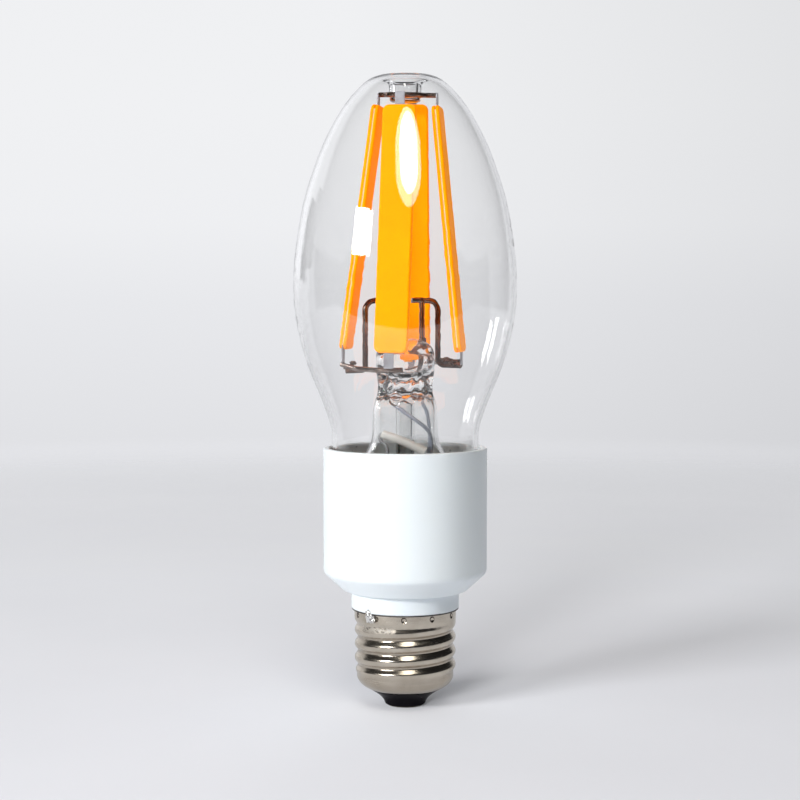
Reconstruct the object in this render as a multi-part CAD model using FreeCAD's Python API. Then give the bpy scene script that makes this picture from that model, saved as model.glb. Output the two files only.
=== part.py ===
"""LED filament lamp on an E26 screw base, upright, standing on its centre contact.

Millimetres, +Z up, origin at the middle of the centre contact's flat underside.
The four LED strips stand round the axis, splayed outwards at the foot, and are
turned 11 degrees clockwise as seen from above, so the front one faces -Y.
"""
import FreeCAD, Part
from FreeCAD import Vector as V, Placement, Rotation
import math
import os

os.makedirs("parts", exist_ok=True)

# ---------------------------------------------------------------- dimensions
# screw base (E26)
PITCH = 3.629            # thread pitch
CREST_R = 13.1           # thread crest radius
ROOT_R = 12.28           # thread root radius
BAND_R = 13.15           # plain band above the thread
SHELL_T = 0.30           # sheet thickness of the shell
SHELL_TOP = 25.1
SHELL_BOT = 4.5
SHELL_MOUTH_R = 9.2      # turned-in mouth that holds the insulator
CREST_PHASE = 17.95      # height of a crest at azimuth 0
ROW_STEP = 0.42          # spacing of the surface's rows on the thread
COLS = 48                # and of its columns round the shell
PUNCHES = 11             # punched locks round the band
PUNCH_Z = 24.0
PUNCH_R = 1.1            # radius of the round-nosed punch
PUNCH_DEPTH = 0.22
# foot
CONTACT_R = 4.7
CONTACT_T = 0.45
FOOT_R = 5.24
INSUL_TOP = 6.4
# white collar
COLLAR_R = 21.1
COLLAR_IN_R = 19.6
COLLAR_TOP = 66.9
COLLAR_CYL_BOT = 34.9
CHAMFER_R = 16.2
CHAMFER_BOT = 30.1
NECK_R = 13.9
NECK_BOT = 25.4
NECK_BORE_R = 10.6
SPIGOT_R = 12.82
SPIGOT_BOT = 23.25
LEDGE_R = 16.4
LEDGE_Z = 38.0
# clear envelope
GLASS_NECK_R = 18.9
GLASS_BOT = 57.5
GLASS_T = 1.0
DIMPLE_R = 4.12          # radius of the inward dimple, on the inside
DIMPLE_BOT = 155.0
# LED strips
STRIP_W = 8.5
STRIP_CORE = 0.40
STRIP_COAT = 0.80
TAB_W = 2.5
STRIPS = {               # top and bottom middle of each strip's carrier
    "front": ((-1.34, -7.66, 153.5), (-3.60, -14.40, 91.65)),
    "right": ((8.12, -1.49, 153.72), (14.00, -2.80, 91.55)),
    "back": ((1.78, 7.66, 155.4), (2.46, 14.40, 91.7)),
    "left": ((-6.87, 1.49, 154.32), (-15.4, 2.80, 92.17)),
}
# lower tabs: shift along the strip's width, and lower end
TAB_SHIFT = {"front": 0.55, "right": -2.4, "back": 0.0, "left": -2.9}
TAB_FOOT = {"front": 87.8, "right": 88.1, "back": 88.0, "left": 88.78}
# upper tabs: top end
TAB_TOP = {"front": 156.9, "right": 157.3, "back": 158.6, "left": 157.6}
TAB_W_TOP = 2.4
# mount wires
HOOK_D = 1.45
BAR_D = 1.30
RING_D = 1.30
RING_Z = 157.0
RING_R = 4.98
RING_TILT = 6.8          # degrees; the front of the ring is the lower side
RING_LEAN = 1.0          # degrees; and the right side
HOOK_Z = 104.75
LEADIN_D = 0.90
POST_BOT = 86.0
# stem
STEM_COLS = 64
CAVITY_TOP = 80.46       # inside of the stem's tube
DOME_TOP = 95.1
EXHAUST_R = 2.4
EXHAUST_TOP = 80.9
EXHAUST_IN = 1.5
EXHAUST_BOT = 49.5
# driver
BOARD_R = 18.6
BOARD_T = 1.6


# ------------------------------------------------------------------ helpers
def save(shape, name):
    if shape.ShapeType == "Compound" and len(shape.Solids) == 1:
        shape = shape.Solids[0]
    if not shape.isValid():
        shape.fix(1e-5, 1e-5, 1e-4)
    assert shape.isValid(), name
    assert shape.Volume > 0, name
    shape.exportStep("parts/" + name + ".step")
    b = shape.BoundBox
    print("%-22s solids %d  vol %9.2f  z %.2f..%.2f" % (name, len(shape.Solids), shape.Volume, b.ZMin, b.ZMax))
    return shape


def rz(p):
    return V(p[0], 0, p[1])


def spline(pts, t0=None, t1=None):
    c = Part.BSplineCurve()
    p = [rz(q) for q in pts]
    if t0 is not None:
        c.interpolate(Points=p, InitialTangent=V(t0[0], 0, t0[1]), FinalTangent=V(t1[0], 0, t1[1]))
    else:
        c.interpolate(p)
    return c.toShape()


def line(a, b):
    return Part.makeLine(rz(a), rz(b))


def revolve(edges):
    """Solid of revolution about Z from (r, z) edges in order round the section."""
    f = Part.Face(Part.Wire(Part.__sortEdges__(edges)))
    s = f.revolve(V(0, 0, 0), V(0, 0, 1), 360)
    if s.ShapeType != "Solid":
        s = Part.makeSolid(Part.Shell(s.Faces)) if s.ShapeType != "Compound" else s.Solids[0]
    if s.Volume < 0:
        s = s.reversed()
    return s


def lathe(pts):
    """Solid of revolution from a closed list of (r, z) corners."""
    return revolve([line(pts[i], pts[(i + 1) % len(pts)]) for i in range(len(pts))
                    if (rz(pts[i]) - rz(pts[(i + 1) % len(pts)])).Length > 1e-6])


def route(points):
    """Straight runs joined by tangent arcs, each arc as large as its runs allow."""
    P = [V(*p) for p in points]
    edges = []
    prev = P[0]
    radii = []
    for i in range(1, len(P) - 1):
        a, b, c = P[i - 1], P[i], P[i + 1]
        u, w = (b - a), (c - b)
        la, lc = u.Length, w.Length
        u.normalize()
        w.normalize()
        turn = math.acos(max(-1, min(1, u.dot(w))))
        t = 0.45 * min(la, lc)
        r = t / math.tan(turn / 2)
        radii.append(round(r, 2))
        s = b - u * t
        e = b + w * t
        # middle of the arc
        bis = (w - u)
        bis.normalize()
        m = b + bis * (r / math.cos(turn / 2) - r)
        if (s - prev).Length > 1e-6:
            edges.append(Part.LineSegment(prev, s).toShape())
        edges.append(Part.Arc(s, m, e).toShape())
        prev = e
    edges.append(Part.LineSegment(prev, P[-1]).toShape())
    return Part.Wire(edges), radii


def route_r(points, radii):
    """Straight runs joined by tangent arcs of the stated radii."""
    P = [V(*p) for p in points]
    edges = []
    prev = P[0]
    for i in range(1, len(P) - 1):
        a, b, c = P[i - 1], P[i], P[i + 1]
        u, w = (b - a), (c - b)
        u.normalize()
        w.normalize()
        turn = math.acos(max(-1, min(1, u.dot(w))))
        r = radii[i - 1]
        t = r * math.tan(turn / 2)
        s = b - u * t
        e = b + w * t
        bis = (w - u)
        bis.normalize()
        m = b + bis * (r / math.cos(turn / 2) - r)
        if (s - prev).Length > 1e-6:
            edges.append(Part.LineSegment(prev, s).toShape())
        edges.append(Part.Arc(s, m, e).toShape())
        prev = e
    edges.append(Part.LineSegment(prev, P[-1]).toShape())
    return Part.Wire(edges)


def pipe(wire, r):
    e = wire.OrderedEdges[0]
    p = e.valueAt(e.FirstParameter)
    t = e.tangentAt(e.FirstParameter)
    c = Part.Wire(Part.Circle(p, t, r).toShape())
    s = wire.makePipeShell([c], True, False)
    if s.Volume < 0:
        s = s.reversed()
    want = math.pi * r * r * wire.Length
    assert abs(s.Volume - want) / want < 0.02, (s.Volume, want)
    return s


def cyl(r, z0, z1, x=0.0, y=0.0):
    return Part.makeCylinder(r, z1 - z0, V(x, y, z0))


def box(x0, x1, y0, y1, z0, z1):
    return Part.makeBox(x1 - x0, y1 - y0, z1 - z0, V(x0, y0, z0))


# ------------------------------------------------------------- screw shell
def thread_wave(ph):
    """Rolled lamp thread: broad round crests and tighter roots, -1..1."""
    c = math.cos(ph)
    return c + 0.16 * (1 - math.cos(2 * ph)) - 0.08


def window(z):
    """1 on the thread, fading out on the band above and the cone below."""
    def s(t):
        t = max(0.0, min(1.0, t))
        return t * t * (3 - 2 * t)
    return s((23.0 - z) / 2.2) * s((z - 8.2) / 2.0)


BASE_PROFILE = [(SHELL_MOUTH_R, SHELL_BOT), (9.7, 4.66), (10.35, 4.95), (11.15, 5.5), (11.87, 6.2), (12.34, 7.0)]


def shell_rows():
    rows = [(r, z) for r, z in BASE_PROFILE]
    z = 7.45
    while z < 23.0:
        rows.append((None, z))
        z += ROW_STEP
    rows += [(BAND_R, 23.4), (BAND_R, 24.2), (BAND_R, SHELL_TOP)]
    return rows


def shell_pole(row, th, off):
    """Control point of the sheet's surface; the thread's height and the radius are
    scaled up by what a cubic surface loses between its control points."""
    r, z = row
    if r is None:
        mean = 0.5 * (CREST_R + ROOT_R)
        amp = 0.5 * (CREST_R - ROOT_R) * 3.0 / (2.0 + math.cos(2 * math.pi * ROW_STEP / PITCH))
        k = window(z)
        base = BAND_R if z > 14 else 12.5
        ph = 2 * math.pi * (z - CREST_PHASE) / PITCH - th
        r = base + k * (mean - base + amp * thread_wave(ph))
    g = 3.0 / (2.0 + math.cos(2 * math.pi / COLS))
    if off and z <= 7.0:
        # inside face of the turned-in cone
        f = (7.0 - z) / (7.0 - SHELL_BOT)
        r, z = r - off * (1 - f), z + off * f
    else:
        r = r - off
    return V(r * g * math.cos(th), r * g * math.sin(th), z)


def shell_face(off):
    rows = shell_rows()
    poles = [[shell_pole(row, 2 * math.pi * j / COLS, off) for j in range(COLS)] for row in rows]
    n = len(rows)
    um = [4] + [1] * (n - 4) + [4]
    uk = [float(i) for i in range(len(um))]
    vk = [float(i) for i in range(COLS + 1)]
    s = Part.BSplineSurface()
    s.buildFromPolesMultsKnots(poles, um, [1] * (COLS + 1), uk, vk, False, True, 3, 3)
    return s.toShape()


def rim(face, top):
    """The level edge of a face at its top or at its bottom."""
    best = None
    for e in face.Edges:
        zs = [e.valueAt(e.FirstParameter + (e.LastParameter - e.FirstParameter) * q).z for q in (0, 0.3, 0.7, 1)]
        if max(zs) - min(zs) < 1e-3:
            z = sum(zs) / 4
            if best is None or ((z > best[0]) == top):
                best = (z, e)
    return best[1]


def make_shell():
    out = shell_face(0.0)
    inn = shell_face(SHELL_T)
    rims = [Part.makeRuledSurface(rim(out, t), rim(inn, t)) for t in (True, False)]
    sh = Part.makeCompound([out, inn] + rims)
    sh.sewShape(1e-3)
    sh = sh if sh.ShapeType == "Shell" else sh.Shells[0]
    assert sh.isClosed()
    s = Part.Solid(sh)
    if s.Volume < 0:
        s = s.reversed()
    for k in range(PUNCHES):
        a = math.radians(-91.5 + 360.0 * k / PUNCHES)
        d = V(math.cos(a), math.sin(a), 0)
        s = s.cut(Part.makeSphere(PUNCH_R, d * (BAND_R + PUNCH_R - PUNCH_DEPTH) + V(0, 0, PUNCH_Z)))
    return s


shell = save(make_shell(), "screw_shell")

# ---------------------------------------------------- insulator and contact
ins = lathe([(1.2, CONTACT_T), (CONTACT_R + 0.05, CONTACT_T), (CONTACT_R + 0.05, 0.35), (FOOT_R - 0.15, 0.35),
             (FOOT_R, 0.5), (5.38, 0.95), (5.6, 1.4), (5.95, 1.9), (6.4, 2.4), (6.95, 2.88), (7.6, 3.35), (8.35, 3.85),
             (SHELL_MOUTH_R - 0.02, 4.38), (SHELL_MOUTH_R - 0.02, 5.35), (9.9, 5.5), (9.9, INSUL_TOP), (1.2, INSUL_TOP)])
ins = save(ins, "base_insulator")
con = lathe([(0, 0), (CONTACT_R - 0.25, 0), (CONTACT_R - 0.06, 0.08), (CONTACT_R, 0.25), (CONTACT_R, CONTACT_T),
             (1.18, CONTACT_T), (1.18, INSUL_TOP), (2.1, INSUL_TOP), (2.1, INSUL_TOP + 0.35),
             (0.46, INSUL_TOP + 0.35), (0.46, 3.0), (0, 3.0)])
con = save(con, "centre_contact")

# --------------------------------------------------------------- collar cup
SOLDER_A = math.radians(-132.6)
SD = V(math.cos(SOLDER_A), math.sin(SOLDER_A), 0)
col = lathe([(SPIGOT_R - 1.2, SPIGOT_BOT), (SPIGOT_R, SPIGOT_BOT), (SPIGOT_R, NECK_BOT), (NECK_R - 0.25, NECK_BOT),
             (NECK_R, NECK_BOT + 0.25), (NECK_R, CHAMFER_BOT), (CHAMFER_R - 0.5, CHAMFER_BOT),
             (CHAMFER_R, CHAMFER_BOT + 0.25),
             (COLLAR_R - 0.55, COLLAR_CYL_BOT - 0.6), (COLLAR_R - 0.18, COLLAR_CYL_BOT - 0.05),
             (COLLAR_R, COLLAR_CYL_BOT + 0.7),
             (COLLAR_R, COLLAR_TOP - 0.35), (COLLAR_R - 0.12, COLLAR_TOP - 0.08), (COLLAR_R - 0.4, COLLAR_TOP),
             (COLLAR_IN_R + 0.3, COLLAR_TOP), (COLLAR_IN_R, COLLAR_TOP - 0.3),
             (COLLAR_IN_R, LEDGE_Z), (LEDGE_R, LEDGE_Z), (LEDGE_R, 34.4), (13.2, 31.9), (NECK_BORE_R, 31.9),
             (NECK_BORE_R, 24.0), (SPIGOT_R - 1.2, 23.5)])
# notch in the neck ring for the side wire and its solder
notch_dir = Rotation(V(0, 0, 1), math.degrees(SOLDER_A))
notch = Part.makeBox(2.4, 1.9, 0.8, V(13.1, -0.95, NECK_BOT - 0.1))
notch.Placement = Placement(V(0, 0, 0), notch_dir)
hole = Part.makeCylinder(0.5, 5.0, SD * 9.8 + V(0, 0, 26.0), SD)
col = col.cut(notch).cut(hole)
col = save(col, "collar_housing")

# ---------------------------------------------------- side solder and wire
ball = Part.makeSphere(1.0)
m = FreeCAD.Matrix()
m.scale(1.1, 1.25, 1.8)
blob = ball.transformGeometry(m)
blob.Placement = Placement(SD * 13.2 + V(0, 0, 24.3), notch_dir)
blob = blob.cut(cyl(BAND_R + 0.02, 15, SHELL_TOP + 0.01)).cut(col)
blob = max(blob.Solids, key=lambda q: q.Volume)

shell_route, rr = route([tuple(SD * 9.4 + V(0, 0, 38.6)), tuple(SD * 9.4 + V(0, 0, 31.0)), tuple(SD * 9.7 + V(0, 0, 27.0)),
                         tuple(SD * 12.2 + V(0, 0, 25.9)), tuple(SD * 13.4 + V(0, 0, 25.7))])
print("shell wire radii", rr)
shell_wire = pipe(shell_route, 0.32)
shell_wire = shell_wire.cut(col)
shell_wire = max(shell_wire.Solids, key=lambda q: q.Volume)
blob = blob.cut(shell_wire)
blob = max(blob.Solids, key=lambda q: q.Volume)
save(blob, "side_solder")

# ------------------------------------------------------------ glass envelope
OUT = [(18.9, 69.5), (19.05, 71.6), (19.65, 74.0), (20.75, 77.2), (22.05, 80.6), (23.35, 83.6), (24.75, 87.1),
       (26.05, 91.0), (27.15, 95.2), (28.1, 100.0), (28.6, 104.8), (28.68, 109.2), (28.5, 113.6), (28.05, 118.2),
       (27.3, 123.2), (26.3, 128.6), (25.05, 133.4), (23.55, 137.9), (21.75, 142.8), (19.85, 147.0),
       (17.75, 150.9), (15.1, 155.0), (12.2, 158.4), (9.3, 160.85), (7.2, 161.75), (5.4, 162.0), (4.35, 161.85), (3.6, 161.35),
       (3.15, 160.6), (2.93, 159.5), (2.85, 158.2), (2.8, 157.0), (2.55, 156.3), (1.9, 156.0), (0.0, 155.92)]
INN = [(17.9, 69.6), (18.06, 71.9), (18.66, 74.4), (19.78, 77.6), (21.1, 81.05), (22.42, 84.1), (23.85, 87.6),
       (25.15, 91.45), (26.22, 95.5), (27.13, 100.1), (27.61, 104.8), (27.69, 109.2), (27.52, 113.5), (27.07, 118.0),
       (26.33, 122.9), (25.35, 128.3), (24.12, 133.0), (22.63, 137.45), (20.85, 142.3), (18.98, 146.4),
       (16.93, 150.25), (14.38, 154.25), (11.6, 157.5), (8.85, 159.85), (7.0, 160.62), (5.85, 160.72), (5.05, 160.45), (4.5, 159.9),
       (4.2, 159.1), (DIMPLE_R, 158.2), (DIMPLE_R - 0.05, 157.0), (DIMPLE_R - 0.1, 156.1), (3.85, 155.4), (3.3, 155.1),
       (1.9, 155.02), (0.0, DIMPLE_BOT)]
env = revolve([line((17.9, GLASS_BOT + 0.9), (18.15, GLASS_BOT)), line((18.15, GLASS_BOT), (GLASS_NECK_R, GLASS_BOT + 0.5)),
               line((GLASS_NECK_R, GLASS_BOT + 0.5), OUT[0]), spline(OUT, (0, 1), (-1, 0)), line(OUT[-1], INN[-1]),
               spline(INN, (0, 1), (-1, 0)), line(INN[0], (17.9, GLASS_BOT + 0.9))])
env = save(env, "glass_envelope")

# clear adhesive between the glass neck and the collar
adh = lathe([(GLASS_NECK_R + 0.02, 60.0), (COLLAR_IN_R - 0.02, 60.0), (COLLAR_IN_R - 0.02, 65.6),
             (GLASS_NECK_R + 0.02, 66.1)])
save(adh, "neck_adhesive")

# ----------------------------------------------------------------- LED strips


def frame_of(name):
    T, B = (V(*p) for p in STRIPS[name])
    a = (T - B)
    L = a.Length
    a.normalize()
    mid = (T + B) * 0.5
    n = V(mid.x, mid.y, 0)
    n = n - a * n.dot(a)
    n.normalize()
    w = n.cross(a)
    # local x = width, y = outward, z = along
    M = FreeCAD.Matrix(w.x, n.x, a.x, B.x, w.y, n.y, a.y, B.y, w.z, n.z, a.z, B.z, 0, 0, 0, 1)
    return Placement(M), L


def coat(L, side):
    """One moulded coat, flat inside and rounded outside, with rounded ends."""
    t0 = STRIP_CORE / 2
    y0, y1 = (t0, t0 + STRIP_COAT) if side > 0 else (-t0 - STRIP_COAT, -t0)
    b = Part.makeBox(STRIP_W, STRIP_COAT, L, V(-STRIP_W / 2, y0, 0))
    vert = [e for e in b.Edges if abs(e.tangentAt(e.FirstParameter).y) > 0.99]
    b = b.makeFillet(1.7, vert)
    yo = y1 if side > 0 else y0
    rim = [e for e in b.Edges if all(abs(v.Y - yo) < 1e-6 for v in e.Vertexes)]
    return b.makeFillet(0.5, rim)


for nm in ("front", "right", "back", "left"):
    pl, L = frame_of(nm)
    core = Part.makeBox(STRIP_W - 0.35, STRIP_CORE, L - 2.4, V(-(STRIP_W - 0.35) / 2, -STRIP_CORE / 2, 1.2))
    core.Placement = pl
    save(core, "carrier_" + nm)
    c = Part.makeCompound([coat(L, 1), coat(L, -1)])
    c.Placement = pl
    save(c, "phosphor_" + nm)
    sh = TAB_SHIFT[nm]
    tt = STRIP_CORE - 0.1
    up = Part.makeBox(TAB_W_TOP, tt, 1.35, V(-TAB_W_TOP / 2, -tt / 2, L - 1.2))
    lo = Part.makeBox(TAB_W, tt, 1.35, V(-TAB_W / 2 + sh, -tt / 2, -0.15))
    up.Placement = pl
    lo.Placement = pl
    # outside the strip the tabs are bent upright
    nn = pl.Rotation.multVec(V(0, 1, 0))
    dd = V(nn.x, nn.y, 0)
    dd.normalize()
    ww = dd.cross(V(0, 0, 1))
    T, B = (V(*p) for p in STRIPS[nm])
    out = []
    for q, z0, z1, tw in ((T, T.z - 0.05, TAB_TOP[nm], TAB_W_TOP), (B + ww * sh, TAB_FOOT[nm], B.z + 0.05, TAB_W)):
        M = FreeCAD.Matrix(ww.x, dd.x, 0, q.x, ww.y, dd.y, 0, q.y, 0, 0, 1, 0, 0, 0, 0, 1)
        u = Part.makeBox(tw, tt, z1 - z0, V(-tw / 2, -tt / 2, z0))
        u.Placement = Placement(M)
        out.append(u)
    t = Part.makeCompound([up.fuse(out[0]).removeSplitter(), lo.fuse(out[1]).removeSplitter()])
    save(t, "terminals_" + nm)

# ------------------------------------------------------------- top wire ring
ring = Part.makeTorus(RING_R, RING_D / 2)
lean = Rotation(V(1, 0, 0), RING_TILT).multiply(Rotation(V(0, 1, 0), RING_LEAN))
ring.Placement = Placement(V(0.1, 0, RING_Z), lean.multiply(Rotation(V(0, 0, 1), 38)))


def ring_z(x, y):
    """Height of the ring's tilted plane."""
    n = lean.multVec(V(0, 0, 1))
    return RING_Z - (n.x * (x - 0.1) + n.y * y) / n.z


def arm(ax, ay, bx, by):
    w = Part.Wire([Part.LineSegment(V(ax, ay, ring_z(ax, ay)), V(bx, by, ring_z(bx, by))).toShape()])
    return pipe(w, RING_D / 2)


arms = []
for nm in ("front", "right", "back", "left"):
    pl, L = frame_of(nm)
    # from the ring out to the inner face of the strip's upright tab
    p = V(*STRIPS[nm][0])
    n = pl.Rotation.multVec(V(0, 1, 0))
    d = V(n.x, n.y, 0)
    d.normalize()
    # clear of the tab by what the arm's slope adds at its end
    e = p - d * ((STRIP_CORE - 0.1) / 2 + (0.08 if nm in ("front", "back") else 0.012))
    s = e - d * (e - V(0.1, 0, 0)).dot(d) + d * (RING_R + 0.25)
    arms.append(arm(s.x, s.y, e.x, e.y))
top = ring
for a_ in arms:
    top = top.fuse(a_)
top = top.removeSplitter()
assert len(top.Solids) == 1 and top.BoundBox.XLength > 13.5
save(top, "top_ring")

# --------------------------------------------------- hooks, bars and lead-ins
# bent nickel wire: free end, along, down, and outwards to the strip's tab
HL = [(-3.0, -0.6, HOOK_Z), (-10.2, -2.7, HOOK_Z), (-10.2, -2.7, 86.95), (-15.15, -1.05, 86.65)]
HR = [(1.7, 0.4, HOOK_Z), (8.45, 2.2, HOOK_Z), (8.45, 2.2, 88.0), (14.13, -0.34, 88.0)]
hl = pipe(route_r(HL, [2.6, 1.1]), HOOK_D / 2)
hr = pipe(route_r(HR, [2.6, 1.9]), HOOK_D / 2)
# bars: each lies on a hook's foot and runs round to the next strip's tab
BL = [(-16.3, 0.25, 88.17), (-12.3, -6.3, 87.46), (-6.7, -13.06, 87.32), (-0.7, -14.25, 87.4)]
BR = [(14.0, 0.70, 88.98), (11.3, 6.4, 88.7), (5.76, 12.93, 88.4), (-0.24, 14.1, 88.4)]
bl = pipe(route_r(BL, [8.0, 4.0]), BAR_D / 2)
br = pipe(route_r(BR, [8.0, 4.0]), BAR_D / 2)
POST_L = (-4.15, -0.93)
POST_R = (4.3, 1.05)
pls = cyl(HOOK_D / 2, POST_BOT, HOOK_Z - 0.3, *POST_L).cut(hl)
prs = cyl(HOOK_D / 2, POST_BOT, HOOK_Z - 0.3, *POST_R).cut(hr)
pls = max(pls.Solids, key=lambda q: q.Volume)
prs = max(prs.Solids, key=lambda q: q.Volume)
save(hl, "hook_left")
save(hr, "hook_right")
save(bl, "bar_left")
save(br, "bar_right")
save(pls, "post_left")
save(prs, "post_right")
LL = [(POST_L[0], POST_L[1], POST_BOT), (POST_L[0], POST_L[1], 85.0), (-4.85, -0.6, 82.6), (-4.6, -0.4, 80.2)]
LR = [(POST_R[0], POST_R[1], POST_BOT), (POST_R[0], POST_R[1], 85.0), (4.95, 0.8, 82.6), (4.1, 0.6, 80.2)]
ll = pipe(route_r(LL, [3.5, 3.0]), LEADIN_D / 2)
lr = pipe(route_r(LR, [3.5, 3.0]), LEADIN_D / 2)
save(ll, "lead_in_left")
save(lr, "lead_in_right")

# ----------------------------------------------------------------- glass stem
# (half width, half depth, height, squareness) up the outside: flared rim, tube, flat
# press and dome; the press is nipped between dies and comes out uneven
STEM_OUT = [(17.895, 17.895, 58.3, 2), (17.895, 17.895, 58.9, 2), (17.86, 17.86, 59.3, 2), (17.55, 17.55, 59.55, 2), (16.9, 16.9, 59.75, 2),
            (16.1, 16.1, 60.1, 2), (15.2, 15.2, 60.6, 2), (14.3, 14.3, 61.2, 2), (13.1, 13.1, 62.3, 2), (12.0, 12.0, 63.5, 2),
            (10.95, 10.95, 64.8, 2), (10.05, 10.05, 66.0, 2), (9.4, 9.4, 67.1, 2), (8.95, 8.95, 68.2, 2), (8.6, 8.6, 69.5, 2),
            (8.42, 8.42, 71.0, 2), (8.35, 8.35, 72.6, 2), (8.32, 8.32, 74.2, 2), (8.28, 8.26, 75.7, 2), (8.22, 8.1, 77.0, 2),
            (8.05, 7.5, 78.0, 2), (7.85, 6.75, 78.8, 2.1), (7.6, 5.85, 79.5, 2.2), (7.4, 5.05, 80.1, 2.3), (7.25, 4.4, 80.6, 2.4),
            (7.12, 3.95, 81.1, 2.5), (7.05, 3.65, 81.6, 2.5), (7.0, 3.5, 82.1, 2.5), (6.97, 3.43, 82.6, 2.5), (6.97, 3.45, 83.1, 2.5),
            (7.0, 3.55, 83.6, 2.5), (7.06, 3.75, 84.1, 2.4), (7.15, 4.05, 84.6, 2.3), (7.25, 4.45, 85.1, 2.2), (7.36, 4.95, 85.6, 2.1),
            (7.46, 5.6, 86.2, 2.1), (7.54, 6.25, 86.9, 2), (7.6, 6.85, 87.7, 2), (7.62, 7.3, 88.7, 2), (7.6, 7.55, 89.8, 2),
            (7.48, 7.48, 91.0, 2), (7.2, 7.2, 92.1, 2), (6.7, 6.7, 93.05, 2), (5.9, 5.9, 93.9, 2), (4.7, 4.7, 94.5, 2),
            (3.2, 3.2, 94.88, 2), (1.8, 1.8, 95.04, 2), (0.7, 0.7, DOME_TOP, 2)]
# and up the inside of the tube
STEM_IN = [(19.5, 19.5, 58.15, 2), (18.7, 18.7, 58.25, 2), (17.9, 17.9, 58.45, 2), (16.9, 16.9, 58.65, 2), (16.0, 16.0, 58.95, 2),
           (14.8, 14.8, 59.6, 2), (13.7, 13.7, 60.4, 2), (12.5, 12.5, 61.5, 2), (11.35, 11.35, 62.75, 2), (10.3, 10.3, 64.0, 2),
           (9.35, 9.35, 65.2, 2), (8.7, 8.7, 66.3, 2), (8.2, 8.2, 67.4, 2), (7.85, 7.85, 68.6, 2), (7.65, 7.65, 69.9, 2),
           (7.53, 7.53, 71.3, 2), (7.48, 7.48, 73.0, 2), (7.45, 7.42, 75.0, 2), (7.38, 7.2, 76.6, 2), (7.2, 6.7, 77.7, 2),
           (6.95, 5.8, 78.5, 2), (6.6, 4.8, 79.15, 2), (6.1, 3.9, 79.65, 2), (5.4, 3.1, 80.0, 2), (4.4, 2.4, 80.25, 2),
           (3.0, 1.6, 80.4, 2), (1.2, 0.7, CAVITY_TOP, 2)]


def unevenness(x, z, side):
    """Relative thickness of the pressed glass, from the marks of the dies and the folds of soft glass."""
    k = max(0.0, min(1.0, (z - 78.9) / 1.3)) * max(0.0, min(1.0, (86.6 - z) / 1.6))
    w = (math.sin(1.75 * x + 1.1 * side + 0.5) * math.cos(1.5 * z + 0.4 * x) + 0.7 * math.sin(2.9 * x - 1.9 * z + 2.0 * side)
         + 0.5 * math.sin(4.1 * x + 2.7 * z + 0.7 * side))
    return 1.0 + 0.085 * k * w


def section_point(row, th, uneven):
    a, b, z, n = row
    g = 3.0 / (2.0 + math.cos(2 * math.pi / STEM_COLS))
    c, s = math.cos(th), math.sin(th)
    x = a * math.copysign(abs(c) ** (2.0 / n), c)
    y = b * math.copysign(abs(s) ** (2.0 / n), s)
    if uneven:
        y *= unevenness(x, z, 1.0 if y > 0 else -1.0)
        x *= 1.0 + 0.25 * (unevenness(2.0 * y, z, 0.3) - 1.0)
    return V(x * g, y * g, z)


def lofted(rows, uneven):
    """Closed solid with one smooth side surface through level sections, and flat ends."""
    poles = [[section_point(r, 2 * math.pi * j / STEM_COLS, uneven) for j in range(STEM_COLS)] for r in rows]
    um = [4] + [1] * (len(rows) - 4) + [4]
    s = Part.BSplineSurface()
    s.buildFromPolesMultsKnots(poles, um, [1] * (STEM_COLS + 1), [float(i) for i in range(len(um))],
                               [float(i) for i in range(STEM_COLS + 1)], False, True, 3, 3)
    side = s.toShape()
    ends = [Part.Face(Part.Wire([rim(side, t)])) for t in (True, False)]
    sh = Part.makeCompound([side] + ends)
    sh.sewShape(1e-3)
    sh = sh if sh.ShapeType == "Shell" else sh.Shells[0]
    assert sh.isClosed()
    q = Part.Solid(sh)
    return q.reversed() if q.Volume < 0 else q


stem = lofted(STEM_OUT, True).cut(lofted(STEM_IN, False))
hollow = revolve([line((0, 85.5), (0, 92.9)), spline([(0, 92.9), (3.2, 92.6), (5.3, 91.3), (6.1, 89.3)], (1, 0), (0, -1)),
                  spline([(6.1, 89.3), (5.85, 87.9), (4.9, 86.6), (3.0, 85.75), (0, 85.5)], (0, -1), (-1, 0))])
stem = stem.cut(hollow)
for w in (ll, lr, pls, prs):
    stem = stem.cut(w)
ex_hole = cyl(EXHAUST_R, 70.0, EXHAUST_TOP)
stem = stem.cut(ex_hole)
assert len(stem.Solids) == 1, [round(q.Volume, 4) for q in stem.Solids]
stem = save(stem, "stem_glass")
exh = lathe([(EXHAUST_R, EXHAUST_TOP), (0, EXHAUST_TOP), (0, 79.6), (EXHAUST_IN, 78.8), (EXHAUST_IN, 51.2), (0.9, 50.6), (0, 50.5),
             (0, EXHAUST_BOT), (0.7, EXHAUST_BOT + 0.15), (1.9, EXHAUST_BOT + 1.0), (EXHAUST_R, EXHAUST_BOT + 2.4)])
save(exh, "exhaust_tube")

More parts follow.
